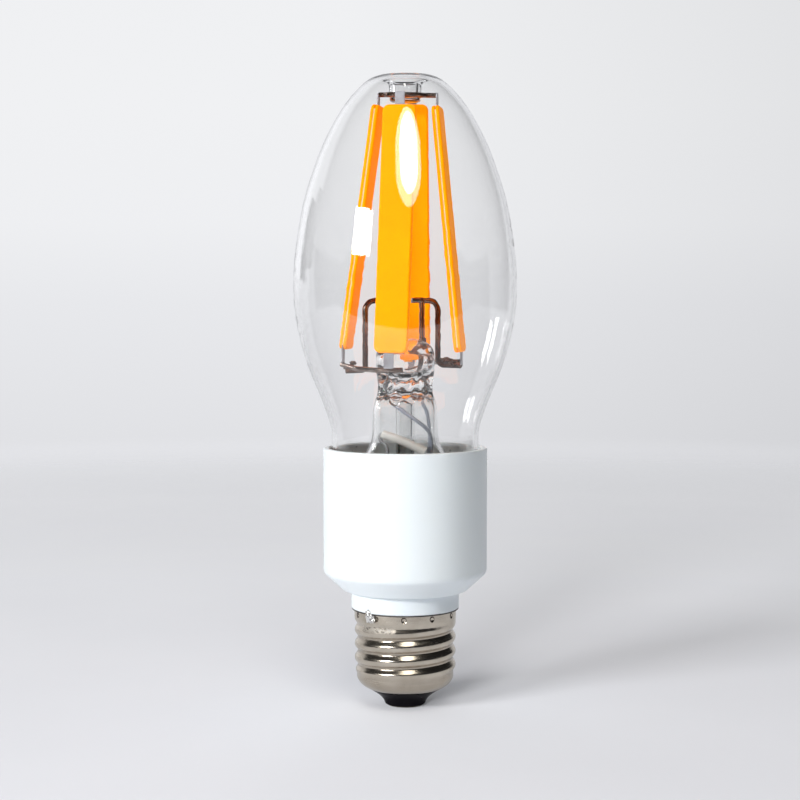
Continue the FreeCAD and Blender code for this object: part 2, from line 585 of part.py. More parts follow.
# ------------------------------------------------------- leads to the driver
SLV_R = 0.46
SLV_IN = 0.28
SL1 = [(-4.6, -0.4, 80.2), (-3.9, -1.9, 78.9), (-2.2, -3.9, 77.7), (2.1, -4.6, 74.9), (5.6, -3.1, 72.1), (6.7, -1.0, 69.6),
       (6.7, 0.4, 64.0), (7.8, 2.2, 56.0), (8.8, 3.2, 50.5), (8.8, 3.2, 45.0)]
SL2 = [(4.1, 0.6, 80.2), (4.8, 1.1, 78.2), (6.0, 1.8, 75.0), (6.6, 2.1, 71.2), (6.5, 2.9, 66.4), (5.5, 4.5, 61.5), (4.6, 6.8, 56.0),
       (3.8, 8.2, 50.5), (3.8, 8.2, 45.0)]
WIRE_FOOT = LEDGE_Z - 0.6
for nm, pts, lead, bare in (("a", SL1, ll, 77.8), ("b", SL2, lr, 79.6)):
    w, rr = route(pts)
    print("sleeved lead", nm, rr)
    c = pipe(w, SLV_IN)
    t = pipe(w, SLV_R).cut(c).cut(cyl(9.0, bare, 82.0))
    t = max(t.Solids, key=lambda q: q.Volume)
    c = c.fuse(cyl(SLV_IN, WIRE_FOOT, pts[-1][2], pts[-1][0], pts[-1][1])).removeSplitter().cut(lead)
    c = max(c.Solids, key=lambda q: q.Volume)
    save(t, "lead_sleeve_" + nm)
    save(c, "lead_wire_" + nm)
# white glass-fibre sleeve lying across the foot of the stem, and the wire it covers
WS = [(-5.5, -2.6, 70.6), (-2.5, -3.9, 69.6), (1.0, -4.5, 68.1), (4.8, -4.5, 66.0)]
w, rr = route(WS)
print("white sleeve", rr)
ws_full = pipe(w, 1.25)
ws_bore = pipe(w, 0.62)
save(max(ws_full.cut(ws_bore).Solids, key=lambda q: q.Volume), "insulating_sleeve")
w2, rr = route([(-4.6, -4.6, WIRE_FOOT), (-4.6, -4.6, 58.0), (-4.4, -4.3, 67.2), (-6.2, -3.2, 69.0), (-6.38, -2.22, 70.89),
                (-4.5, -3.033, 70.267)])
print("covered wire", rr)
cover_wire = pipe(w2, 0.45)
for q in (ws_full.cut(ws_bore),):
    cover_wire = cover_wire.cut(q)
cover_wire = max(cover_wire.Solids, key=lambda q: q.Volume)
save(cover_wire, "covered_wire")

# ------------------------------------------------------------------- driver
BZ0 = LEDGE_Z
BZ1 = LEDGE_Z + BOARD_T
board = cyl(BOARD_R, BZ0, BZ1)
CAP_X, CAP_Y = 2.4, -1.0
holes = [(8.8, 3.2, SLV_IN), (3.8, 8.2, SLV_IN), (-4.6, -4.6, 0.45), (SD.x * 9.4, SD.y * 9.4, 0.32), (-3.4, 4.6, 0.45)]
for hx, hy, hr_ in holes:
    board = board.cut(cyl(hr_ + 0.02, BZ0 - 1, BZ1 + 1, hx, hy))
save(board, "driver_board")
# big smoothing capacitor hangs down into the neck
cap = lathe([(0, 38.0), (4.9, 38.0), (5.0, 37.9), (5.0, 36.3), (4.75, 36.0), (4.75, 35.7), (5.0, 35.4), (5.0, 22.4),
             (4.8, 22.1), (4.4, 22.1), (4.4, 22.3), (0, 22.3)])
cap.translate(V(CAP_X, CAP_Y, 0))
save(cap, "smoothing_capacitor")
# ferrite choke: core halves and winding
core = box(5.2, 16.4, -10.4, -2.6, BZ1, BZ1 + 10.6)
core = core.cut(box(7.4, 14.2, -10.5, -2.5, BZ1 + 2.2, BZ1 + 8.5))
leg = cyl(1.9, BZ1 + 2.2, BZ1 + 8.5, 10.8, -6.5)
core = core.fuse(leg).removeSplitter()
save(core, "choke_core")
wind = cyl(3.3, BZ1 + 2.5, BZ1 + 8.2, 10.8, -6.5).cut(cyl(1.9, BZ1, BZ1 + 12, 10.8, -6.5))
save(wind, "choke_winding")
film = box(-14.6, -9.0, -3.4, 7.6, BZ1, BZ1 + 9.6)
film = film.makeFillet(0.8, [e for e in film.Edges if e.BoundBox.ZMax > BZ1 + 0.1])
save(film, "film_capacitor")
bridge = box(-1.9, 2.1, 11.3, 16.1, BZ1, BZ1 + 2.4)
save(bridge, "bridge_rectifier")
chip = box(-7.0, -2.2, 9.2, 13.0, BZ1, BZ1 + 1.6)
save(chip, "driver_chip")
res = Part.makeCylinder(1.6, 8.0, V(-6.6, -2.6, 35.6), V(0.0, 1.0, 0.0))
for y0, y1 in ((-2.0, -4.4), (4.8, 7.2)):
    res = res.fuse(pipe(route_r([(-6.6, y0, 35.6), (-6.6, y1, 35.6), (-6.6, y1, LEDGE_Z)], [0.9]), 0.3))
res = res.removeSplitter()
save(res, "fusible_resistor")
save(shell_wire, "shell_wire")
cw, rr = route([(-3.4, 4.6, BZ1 + 0.4), (-3.4, 4.6, 30.0), (-4.3, 3.4, 22.0), (-2.6, 1.2, 14.5), (0, 0, 9.8), (0, 0, 4.0)])
print("centre wire", rr)
save(pipe(cw, 0.45), "centre_wire")
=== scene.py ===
"""Looks of the clear LED filament lamp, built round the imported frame. Metres, +Z up."""
import math

import bmesh
import bpy
from mathutils import Matrix, Vector, noise


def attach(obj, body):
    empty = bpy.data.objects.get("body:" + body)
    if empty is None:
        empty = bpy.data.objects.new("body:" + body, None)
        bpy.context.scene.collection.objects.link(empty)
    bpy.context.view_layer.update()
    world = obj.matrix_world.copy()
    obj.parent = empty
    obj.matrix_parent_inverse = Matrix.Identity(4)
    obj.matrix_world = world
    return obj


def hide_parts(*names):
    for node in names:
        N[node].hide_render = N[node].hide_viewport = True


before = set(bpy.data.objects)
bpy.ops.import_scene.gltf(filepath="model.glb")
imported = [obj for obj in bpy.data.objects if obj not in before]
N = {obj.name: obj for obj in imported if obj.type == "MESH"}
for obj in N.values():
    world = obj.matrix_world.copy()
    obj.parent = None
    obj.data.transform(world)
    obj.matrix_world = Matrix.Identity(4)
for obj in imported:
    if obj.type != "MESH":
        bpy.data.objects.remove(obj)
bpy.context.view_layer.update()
MM = 0.001
scene = bpy.context.scene
scene.view_settings.view_transform = "Standard"
scene.view_settings.look = "None"


# ------------------------------------------------------------------ camera
cam_data = bpy.data.cameras.new("camera")
cam_data.sensor_width = 36.0
cam_data.lens = 78.75
cam_data.clip_start = 0.01
cam_data.clip_end = 20.0
camera = bpy.data.objects.new("camera", cam_data)
scene.collection.objects.link(camera)
camera.location = (-1.337 * MM, -450.0 * MM, 104.06 * MM)
camera.rotation_euler = (math.radians(90.0 - 3.1726), 0.0, 0.0)
scene.camera = camera


# ------------------------------------------------------------ node helpers
def add(nt, kind, props=None, **inputs):
    node = nt.nodes.new(kind)
    for k, v in (props or {}).items():
        setattr(node, k, v)
    for k, v in inputs.items():
        s = node.inputs[int(k[1:])] if k[0] == "i" and k[1:].isdigit() else node.inputs[k.replace("_", " ")]
        if isinstance(v, bpy.types.NodeSocket):
            nt.links.new(v, s)
        else:
            s.default_value = v
    return node


def new_material(name):
    m = bpy.data.materials.new(name)
    m.use_nodes = True
    nt = m.node_tree
    nt.nodes.clear()
    out = nt.nodes.new("ShaderNodeOutputMaterial")
    return m, nt, out


def coords(nt, scale=(1.0, 1.0, 1.0)):
    c = add(nt, "ShaderNodeTexCoord")
    if scale == (1.0, 1.0, 1.0):
        return c.outputs["Object"]
    return add(nt, "ShaderNodeMapping", Vector=c.outputs["Object"], Scale=scale).outputs[0]


def noise_of(nt, at, scale, detail=3.0, rough=0.5, distortion=0.0):
    return add(nt, "ShaderNodeTexNoise", Vector=at, Scale=scale, Detail=detail, Roughness=rough,
               Distortion=distortion).outputs["Fac"]


def ramp(nt, fac, stops):
    r = add(nt, "ShaderNodeValToRGB", Fac=fac)
    e = r.color_ramp.elements
    while len(e) < len(stops):
        e.new(0.5)
    for el, (pos, col) in zip(e, stops):
        el.position = pos
        el.color = (*col, 1.0) if len(col) == 3 else col
    return r.outputs["Color"]


def fit(nt, value, lo, hi, to_lo, to_hi):
    return add(nt, "ShaderNodeMapRange", Value=value, From_Min=lo, From_Max=hi, To_Min=to_lo, To_Max=to_hi).outputs[0]


def calc(nt, op, a, b=0.0, c=None):
    kw = {"i0": a, "i1": b}
    if c is not None:
        kw["i2"] = c
    return add(nt, "ShaderNodeMath", {"operation": op}, **kw).outputs[0]


def mix_col(nt, fac, a, b, blend="MIX"):
    m = add(nt, "ShaderNodeMix", {"data_type": "RGBA", "blend_type": blend})
    for s, v in ((m.inputs[0], fac), (m.inputs[6], a), (m.inputs[7], b)):
        if isinstance(v, bpy.types.NodeSocket):
            nt.links.new(v, s)
        else:
            s.default_value = (*v, 1.0) if isinstance(v, tuple) and len(v) == 3 else v
    return m.outputs[2]


def bump(nt, height, strength, distance, normal=None):
    kw = {"Height": height, "Strength": strength, "Distance": distance}
    if normal is not None:
        kw["Normal"] = normal
    return add(nt, "ShaderNodeBump", **kw).outputs[0]


def plain(nt, out, **inputs):
    p = add(nt, "ShaderNodeBsdfPrincipled", **inputs)
    nt.links.new(p.outputs[0], out.inputs["Surface"])
    return p


# --------------------------------------------------------------- materials
def glass_material(name, tint, ior, wave_scale, wave_depth, wave_stretch=(1.0, 1.0, 1.0), shade=0.93):
    """Clear glass. Lamps and bounced light pass straight through its thin walls."""
    m, nt, out = new_material(name)
    at = coords(nt, wave_stretch)
    wave = noise_of(nt, at, wave_scale, 1.0, 0.3)
    seed = noise_of(nt, coords(nt), 900.0, 2.0)
    rough = fit(nt, seed, 0.62, 0.8, 0.0, 0.012)
    p = add(nt, "ShaderNodeBsdfPrincipled", Base_Color=(*tint, 1.0), Roughness=rough, IOR=ior, Transmission_Weight=1.0,
            Normal=bump(nt, wave, 1.0, wave_depth))
    clear = add(nt, "ShaderNodeBsdfTransparent", Color=(shade, shade, shade, 1.0))
    path = add(nt, "ShaderNodeLightPath")
    through = calc(nt, "MAXIMUM", path.outputs["Is Shadow Ray"], path.outputs["Is Diffuse Ray"])
    mix = add(nt, "ShaderNodeMixShader", i0=through, i1=p.outputs[0], i2=clear.outputs[0])
    nt.links.new(mix.outputs[0], out.inputs["Surface"])
    return m


def phosphor_material(name):
    """Silicone coat loaded with yellow phosphor powder: satin, slightly translucent, fine-grained."""
    m, nt, out = new_material(name)
    at = coords(nt)
    grain = noise_of(nt, at, 3200.0, 2.0, 0.6)
    cloud = noise_of(nt, at, 90.0, 3.0, 0.5)
    col = mix_col(nt, fit(nt, cloud, 0.3, 0.7, 0.0, 1.0), (1.0, 0.385, 0.0), (1.0, 0.435, 0.0))
    col = mix_col(nt, fit(nt, grain, 0.35, 0.75, 0.0, 0.22), col, (1.0, 0.30, 0.0))
    # painted glow: a steady orange emission, whatever the lighting, keeps its shaded faces a clear orange in place of
    # light passing through and between the strips
    plain(nt, out, Base_Color=col, Roughness=fit(nt, cloud, 0.3, 0.7, 0.42, 0.55), IOR=1.41,
          Subsurface_Weight=0.25, Subsurface_Radius=(1.0, 0.33, 0.02), Subsurface_Scale=0.0011,
          Specular_IOR_Level=0.06, Emission_Color=(1.0, 0.24, 0.0, 1.0), Emission_Strength=0.48,
          Normal=bump(nt, grain, 0.35, 0.00003))
    return m


def carrier_material(name):
    """White ceramic carrier; its ground edge shows between the two coats."""
    m, nt, out = new_material(name)
    at = coords(nt)
    grain = noise_of(nt, at, 2500.0, 2.0)
    saw = noise_of(nt, coords(nt, (1.0, 1.0, 0.05)), 5000.0, 2.0)
    col = mix_col(nt, fit(nt, grain, 0.3, 0.7, 0.0, 1.0), (0.98, 0.78, 0.42), (1.0, 0.86, 0.55))
    plain(nt, out, Base_Color=col, Roughness=fit(nt, saw, 0.3, 0.7, 0.4, 0.6), Specular_IOR_Level=0.3,
          Subsurface_Weight=0.4, Subsurface_Radius=(1.0, 0.8, 0.5), Subsurface_Scale=0.0012,
          Normal=bump(nt, saw, 0.3, 0.00002))
    return m


def wire_material(name, light, dark, rust, rough=(0.22, 0.42), patch=140.0):
    """Drawn nickel-iron wire, heat-tinted in patches, with die lines along it."""
    m, nt, out = new_material(name)
    at = coords(nt)
    tint = noise_of(nt, at, patch, 3.0, 0.55)
    fine = noise_of(nt, at, 2600.0, 3.0, 0.6)
    col = ramp(nt, tint, [(0.32, light), (0.52, dark), (0.70, rust)])
    col = mix_col(nt, fit(nt, fine, 0.5, 0.75, 0.0, 0.6), col, tuple(c * 0.45 for c in dark))
    plain(nt, out, Base_Color=col, Metallic=1.0, Roughness=fit(nt, fine, 0.3, 0.7, *rough),
          Normal=bump(nt, fine, 0.4, 0.00003))
    return m


def tab_material(name):
    m, nt, out = new_material(name)
    roll = noise_of(nt, coords(nt, (1.0, 1.0, 0.04)), 6000.0, 3.0)
    spot = noise_of(nt, coords(nt), 420.0, 4.0, 0.6)
    col = mix_col(nt, fit(nt, spot, 0.45, 0.7, 0.0, 1.0), (0.33, 0.335, 0.37), (0.24, 0.235, 0.25))
    plain(nt, out, Base_Color=col, Metallic=0.45, Roughness=fit(nt, roll, 0.3, 0.7, 0.30, 0.42), Specular_IOR_Level=0.3,
          Normal=bump(nt, roll, 0.4, 0.00002))
    return m


def shell_material(name):
    """Nickel-plated rolled thread: satin, warm, with scuffs that run round it and painted shade in the roots."""
    m, nt, out = new_material(name)
    at = coords(nt)
    xyz = add(nt, "ShaderNodeSeparateXYZ", Vector=at)
    rad = calc(nt, "SQRT", calc(nt, "ADD", calc(nt, "MULTIPLY", xyz.outputs[0], xyz.outputs[0]),
                                calc(nt, "MULTIPLY", xyz.outputs[1], xyz.outputs[1])))
    ang = calc(nt, "ARCTAN2", xyz.outputs[1], xyz.outputs[0])
    # unrolled coordinate for marks that run round the shell
    flat = add(nt, "ShaderNodeCombineXYZ", i0=calc(nt, "MULTIPLY", calc(nt, "COSINE", ang), 0.4),
               i1=calc(nt, "MULTIPLY", calc(nt, "SINE", ang), 0.4), i2=calc(nt, "MULTIPLY", xyz.outputs[2], 900.0))
    lines = noise_of(nt, flat.outputs[0], 2.2, 4.0, 0.6)
    speck = noise_of(nt, at, 1500.0, 4.0, 0.65)
    cloud = noise_of(nt, at, 160.0, 4.0, 0.55)
    # painted shade: the thread roots are darkened where shade falls in them
    root = fit(nt, rad, 0.01235, 0.0129, 1.0, 0.0)
    col = mix_col(nt, fit(nt, cloud, 0.35, 0.68, 0.0, 1.0), (0.59, 0.535, 0.455), (0.48, 0.43, 0.355))
    thread = fit(nt, xyz.outputs[2], 0.0205, 0.0212, 1.0, 0.0)
    col = mix_col(nt, calc(nt, "MULTIPLY", calc(nt, "MULTIPLY", root, thread), 0.42), col, (0.27, 0.225, 0.18))
    col = mix_col(nt, fit(nt, speck, 0.66, 0.76, 0.0, 0.6), col, (0.26, 0.22, 0.19))
    # splashes of flux and solder under the joint
    ahead = fit(nt, xyz.outputs[1], -0.006, -0.0075, 0.0, 1.0)
    across = calc(nt, "MULTIPLY", fit(nt, xyz.outputs[0], -0.0112, -0.0098, 0.0, 1.0), fit(nt, xyz.outputs[0], -0.0040, -0.0020, 1.0, 0.0))
    along = calc(nt, "MULTIPLY", fit(nt, xyz.outputs[2], 0.0204, 0.0209, 0.0, 1.0), fit(nt, xyz.outputs[2], 0.0218, 0.0223, 1.0, 0.0))
    patch = calc(nt, "MULTIPLY", calc(nt, "MULTIPLY", ahead, across), along)
    grit = noise_of(nt, at, 2100.0, 3.0, 0.6)
    col = mix_col(nt, calc(nt, "MULTIPLY", patch, fit(nt, grit, 0.50, 0.62, 0.0, 0.7)), col, (0.30, 0.30, 0.295))
    col = mix_col(nt, calc(nt, "MULTIPLY", patch, fit(nt, grit, 0.52, 0.42, 0.0, 0.90)), col, (0.075, 0.070, 0.065))
    rough = calc(nt, "ADD", fit(nt, lines, 0.3, 0.7, 0.15, 0.25), calc(nt, "MULTIPLY", fit(nt, cloud, 0.4, 0.7, 0.0, 1.0), 0.06))
    rough = calc(nt, "ADD", rough, calc(nt, "MULTIPLY", patch, 0.28))
    b1 = bump(nt, lines, 0.25, 0.00003)
    b2 = bump(nt, speck, 0.22, 0.00003, b1)
    b3 = bump(nt, calc(nt, "MULTIPLY", patch, grit), 0.7, 0.00022, b2)
    plain(nt, out, Base_Color=col, Metallic=fit(nt, patch, 0.0, 1.0, 1.0, 0.5), Roughness=rough, Normal=b3)
    return m


def solder_material(name):
    m, nt, out = new_material(name)
    at = coords(nt)
    lump = noise_of(nt, at, 700.0, 3.0, 0.5)
    fine = noise_of(nt, at, 2600.0, 3.0, 0.6)
    flux = noise_of(nt, at, 380.0, 3.0, 0.5)
    col = mix_col(nt, fit(nt, flux, 0.5, 0.68, 0.0, 1.0), (0.78, 0.77, 0.75), (0.38, 0.30, 0.21))
    b1 = bump(nt, lump, 0.8, 0.0002)
    plain(nt, out, Base_Color=col, Metallic=fit(nt, flux, 0.5, 0.72, 1.0, 0.35), Roughness=fit(nt, fine, 0.3, 0.7, 0.12, 0.40),
          Normal=bump(nt, fine, 0.4, 0.00004, b1))
    return m


def housing_material(name):
    """Moulded white plastic: faint orange peel and flow shading, satin."""
    m, nt, out = new_material(name)
    at = coords(nt)
    peel = noise_of(nt, at, 1400.0, 2.0, 0.5)
    flow = noise_of(nt, coords(nt, (1.0, 1.0, 0.35)), 60.0, 3.0, 0.5)
    dust = noise_of(nt, at, 5200.0, 1.0, 0.5)
    col = mix_col(nt, fit(nt, flow, 0.3, 0.7, 0.0, 1.0), (0.850, 0.920, 0.960), (0.872, 0.938, 0.975))
    col = mix_col(nt, fit(nt, dust, 0.74, 0.80, 0.0, 0.35), col, (0.55, 0.56, 0.58))
    plain(nt, out, Base_Color=col, Roughness=fit(nt, flow, 0.3, 0.7, 0.30, 0.42), IOR=1.49,
          Subsurface_Weight=0.12, Subsurface_Radius=(1.0, 0.9, 0.8), Subsurface_Scale=0.0006,
          Normal=bump(nt, peel, 0.18, 0.00002))
    return m


def insulator_material(name):
    """Black lamp glass, fire-polished, with small ripples and pits."""
    m, nt, out = new_material(name)
    at = coords(nt)
    ripple = noise_of(nt, at, 260.0, 2.0, 0.4)
    pit = noise_of(nt, at, 2200.0, 2.0, 0.5)
    col = mix_col(nt, fit(nt, ripple, 0.3, 0.7, 0.0, 1.0), (0.006, 0.0055, 0.007), (0.011, 0.0095, 0.012))
    b1 = bump(nt, ripple, 0.6, 0.00012)
    plain(nt, out, Base_Color=col, Roughness=fit(nt, pit, 0.35, 0.7, 0.10, 0.25), IOR=1.25, Specular_IOR_Level=0.02,
          Normal=bump(nt, pit, 0.25, 0.00003, b1))
    return m


def contact_material(name):
    m, nt, out = new_material(name)
    at = coords(nt)
    c = add(nt, "ShaderNodeSeparateXYZ", Vector=at)
    rings = add(nt, "ShaderNodeTexWave", {"wave_type": "RINGS", "rings_direction": "Z"}, Vector=at, Scale=900.0,
                Distortion=1.5, Detail=2.0).outputs["Fac"]
    spot = noise_of(nt, at, 600.0, 3.0, 0.6)
    col = mix_col(nt, fit(nt, spot, 0.4, 0.7, 0.0, 1.0), (0.20, 0.185, 0.155), (0.11, 0.095, 0.075))
    plain(nt, out, Base_Color=col, Metallic=1.0, Roughness=fit(nt, spot, 0.3, 0.7, 0.22, 0.45),
          Normal=bump(nt, rings, 0.12, 0.00003))
    return m


def adhesive_material(name):
    """Milky clear silicone between the glass neck and the collar."""
    m, nt, out = new_material(name)
    at = coords(nt)
    bub = noise_of(nt, at, 900.0, 2.0, 0.5)
    p = add(nt, "ShaderNodeBsdfPrincipled", Base_Color=(0.86, 0.89, 0.88, 1.0), IOR=1.41, Transmission_Weight=0.75,
            Roughness=fit(nt, bub, 0.3, 0.7, 0.25, 0.5), Normal=bump(nt, bub, 0.5, 0.0001))
    clear = add(nt, "ShaderNodeBsdfTransparent", Color=(0.75, 0.75, 0.75, 1.0))
    path = add(nt, "ShaderNodeLightPath")
    through = calc(nt, "MAXIMUM", path.outputs["Is Shadow Ray"], path.outputs["Is Diffuse Ray"])
    mix = add(nt, "ShaderNodeMixShader", i0=through, i1=p.outputs[0], i2=clear.outputs[0])
    nt.links.new(mix.outputs[0], out.inputs["Surface"])
    return m


def sleeve_material(name, a, b, rough, grain, stretch=(1.0, 1.0, 1.0), depth=0.00004, strength=0.4):
    m, nt, out = new_material(name)
    at = coords(nt)
    tone = noise_of(nt, at, 220.0, 3.0, 0.5)
    weave = noise_of(nt, coords(nt, stretch), grain, 2.0, 0.5)
    col = mix_col(nt, fit(nt, tone, 0.3, 0.7, 0.0, 1.0), a, b)
    col = mix_col(nt, fit(nt, weave, 0.5, 0.75, 0.0, 0.35), col, tuple(c * 0.6 for c in a))
    plain(nt, out, Base_Color=col, Roughness=fit(nt, tone, 0.3, 0.7, *rough), Normal=bump(nt, weave, strength, depth))
    return m


def metal_material(name, a, b, rough, scale=500.0):
    m, nt, out = new_material(name)
    at = coords(nt)
    tone = noise_of(nt, at, scale, 3.0, 0.55)
    fine = noise_of(nt, at, scale * 6.0, 3.0, 0.6)
    col = mix_col(nt, fit(nt, tone, 0.35, 0.68, 0.0, 1.0), a, b)
    plain(nt, out, Base_Color=col, Metallic=1.0, Roughness=fit(nt, fine, 0.3, 0.7, *rough), Normal=bump(nt, fine, 0.3, 0.00003))
    return m


def board_material(name):
    """Solder-masked board with tracks under the mask and tinned pads."""
    m, nt, out = new_material(name)
    at = coords(nt)
    cells = add(nt, "ShaderNodeTexVoronoi", {"feature": "DISTANCE_TO_EDGE", "distance": "MANHATTAN"}, Vector=at, Scale=260.0)
    track = fit(nt, cells.outputs["Distance"], 0.06, 0.09, 1.0, 0.0)
    dots = add(nt, "ShaderNodeTexVoronoi", Vector=at, Scale=330.0)
    pad = fit(nt, dots.outputs["Distance"], 0.13, 0.17, 1.0, 0.0)
    weave = noise_of(nt, at, 1800.0, 2.0)
    col = mix_col(nt, track, (0.010, 0.075, 0.030), (0.022, 0.150, 0.060))
    col = mix_col(nt, pad, col, (0.70, 0.68, 0.63))
    plain(nt, out, Base_Color=col, Metallic=calc(nt, "MULTIPLY", pad, 0.9), Roughness=fit(nt, weave, 0.3, 0.7, 0.25, 0.4),
          Normal=bump(nt, track, 0.3, 0.00003))
    return m


def winding_material(name):
    m, nt, out = new_material(name)
    turns = add(nt, "ShaderNodeTexWave", {"bands_direction": "Z", "wave_profile": "SIN"}, Vector=coords(nt), Scale=900.0,
                Distortion=0.2).outputs["Fac"]
    col = mix_col(nt, turns, (0.20, 0.055, 0.018), (0.62, 0.24, 0.09))
    plain(nt, out, Base_Color=col, Metallic=0.9, Roughness=fit(nt, turns, 0.0, 1.0, 0.45, 0.25), Normal=bump(nt, turns, 0.8, 0.0001))
    return m


def painted_material(name, a, b, rough=(0.35, 0.55), grain=1500.0, metallic=0.0):
    m, nt, out = new_material(name)
    at = coords(nt)
    tone = noise_of(nt, at, 180.0, 3.0, 0.5)
    fine = noise_of(nt, at, grain, 3.0, 0.55)
    col = mix_col(nt, fit(nt, tone, 0.3, 0.7, 0.0, 1.0), a, b)
    plain(nt, out, Base_Color=col, Metallic=metallic, Roughness=fit(nt, fine, 0.3, 0.7, *rough),
          Normal=bump(nt, fine, 0.3, 0.00003))
    return m


MAT = {
    "clear_glass": glass_material("lamp_glass", (1.0, 1.0, 1.0), 1.5, 22.0, 0.000015, (1.0, 1.0, 0.6)),
    "stem": glass_material("stem_glass", (0.985, 0.99, 0.985), 1.53, 160.0, 0.00012, (1.0, 1.0, 0.55), 0.9),
    "exhaust": glass_material("tube_glass", (0.985, 0.99, 0.985), 1.53, 160.0, 0.00003, (1.0, 1.0, 0.3), 0.9),
    "clear_adhesive": adhesive_material("neck_silicone"),
    "white_housing": housing_material("collar_plastic"),
    "nickel_shell": shell_material("nickel_plate"),
    "contact_metal": contact_material("foot_metal"),
    "black_insulator": insulator_material("black_glass"),
    "solder": solder_material("solder"),
    "phosphor": phosphor_material("phosphor_coat"),
    "strip_carrier": carrier_material("ceramic_carrier"),
    "tab_metal": tab_material("tab_strip"),
    "mount_wire": wire_material("mount_wire", (0.42, 0.36, 0.32), (0.17, 0.110, 0.085), (0.115, 0.046, 0.026), (0.13, 0.26)),
    "grey_sleeve": sleeve_material("lead_sleeve", (0.38, 0.42, 0.52), (0.48, 0.52, 0.60), (0.30, 0.45), 2400.0),
    "white_sleeve": sleeve_material("fibre_sleeve", (0.93, 0.915, 0.865), (0.97, 0.96, 0.92), (0.6, 0.8), 2600.0, (1.0, 1.0, 2.0), 0.00008, 0.7),
    "copper_wire": metal_material("tinned_copper", (0.55, 0.50, 0.45), (0.40, 0.28, 0.20), (0.25, 0.45)),
    "dark_lead": metal_material("oxidised_lead_and_dent_shade", (0.13, 0.115, 0.10), (0.07, 0.055, 0.045), (0.22, 0.40)),
    "covered_lead": sleeve_material("covered_lead", (0.26, 0.27, 0.29), (0.34, 0.35, 0.37), (0.35, 0.5), 2400.0),
    "painted_shadow_line": painted_material("painted_shadow_line", (0.035, 0.030, 0.026), (0.060, 0.052, 0.045), (0.35, 0.6), 2600.0),
    "weld": wire_material("weld_bead", (0.30, 0.24, 0.20), (0.12, 0.075, 0.055), (0.085, 0.035, 0.020), (0.18, 0.40), 900.0),
    "board": board_material("driver_board"),
    "capacitor_can": painted_material("capacitor_sleeve", (0.030, 0.032, 0.042), (0.045, 0.046, 0.058), (0.25, 0.4)),
    "ferrite": painted_material("ferrite", (0.055, 0.052, 0.052), (0.095, 0.09, 0.088), (0.5, 0.75), 2200.0),
    "winding": winding_material("choke_wire"),
    "film_box": painted_material("film_box", (0.50, 0.10, 0.030), (0.58, 0.13, 0.045), (0.3, 0.45)),
    "chip_black": painted_material("moulded_black", (0.018, 0.018, 0.019), (0.032, 0.032, 0.034), (0.45, 0.65), 3000.0),
    "resistor_body": painted_material("resistor_coat", (0.30, 0.42, 0.46), (0.36, 0.49, 0.53), (0.45, 0.6)),
}
for name, ob in N.items():
    for s in ob.material_slots:
        key = {"stem_glass": "stem", "exhaust_tube": "exhaust", "lead_wire_a": "dark_lead", "lead_wire_b": "dark_lead",
               "lead_in_left": "dark_lead", "lead_in_right": "dark_lead",
               "covered_wire": "covered_lead"}.get(name, s.material.name.split(".")[0])
        s.material = MAT[key]


# ------------------------------------------------------------------- stage
def floor_material():
    """Pale paper sweep that melts into the backdrop with distance. Its front edge lies 0.26 m before the lamp, so what mirrors it ends there."""
    m, nt, out = new_material("pale_floor")
    at = coords(nt)
    xyz = add(nt, "ShaderNodeSeparateXYZ", Vector=at)
    rad = calc(nt, "SQRT", calc(nt, "ADD", calc(nt, "MULTIPLY", xyz.outputs[0], xyz.outputs[0]),
                                calc(nt, "MULTIPLY", xyz.outputs[1], xyz.outputs[1])))
    mott = noise_of(nt, at, 14.0, 4.0, 0.5)
    tooth = noise_of(nt, at, 1500.0, 2.0, 0.5)
    col = mix_col(nt, fit(nt, mott, 0.3, 0.7, 0.0, 1.0), (0.702, 0.712, 0.756), (0.722, 0.731, 0.773))
    # painted light: the sweep glows, more so towards the back, standing in for lamps over the whole sweep out of view
    lift = ramp(nt, fit(nt, xyz.outputs[1], -0.10, 0.50, 0.0, 1.0), [(0.0, (0.005,) * 3), (0.19, (0.080,) * 3), (0.33, (0.150,) * 3),
                                                                  (0.52, (0.23,) * 3), (0.95, (0.325,) * 3)])
    d = add(nt, "ShaderNodeBsdfPrincipled", Base_Color=col, Roughness=fit(nt, tooth, 0.3, 0.7, 0.7, 0.9), Specular_IOR_Level=0.2,
            Emission_Color=(0.985, 0.99, 1.0, 1.0), Emission_Strength=lift, Normal=bump(nt, tooth, 0.15, 0.00005))
    path = add(nt, "ShaderNodeLightPath")
    mirrored = calc(nt, "MULTIPLY", calc(nt, "GREATER_THAN", path.outputs["Glossy Depth"], 0.5),
                    fit(nt, xyz.outputs[1], -0.262, -0.250, 1.0, 0.0))
    fade = add(nt, "ShaderNodeMapRange", {"interpolation_type": "SMOOTHSTEP"}, Value=rad, From_Min=0.30, From_Max=0.95, To_Min=0.0,
               To_Max=1.0).outputs[0]
    clear = add(nt, "ShaderNodeBsdfTransparent")
    gone = calc(nt, "MAXIMUM", fade, mirrored)
    mix = add(nt, "ShaderNodeMixShader", i0=gone, i1=d.outputs[0], i2=clear.outputs[0])
    nt.links.new(mix.outputs[0], out.inputs["Surface"])
    return m


def make_floor():
    bm = bmesh.new()
    bmesh.ops.create_circle(bm, cap_ends=True, segments=96, radius=0.97)
    me = bpy.data.meshes.new("floor")
    bm.to_mesh(me)
    bm.free()
    ob = bpy.data.objects.new("floor", me)
    scene.collection.objects.link(ob)
    ob.data.materials.append(floor_material())
    return ob


floor = make_floor()


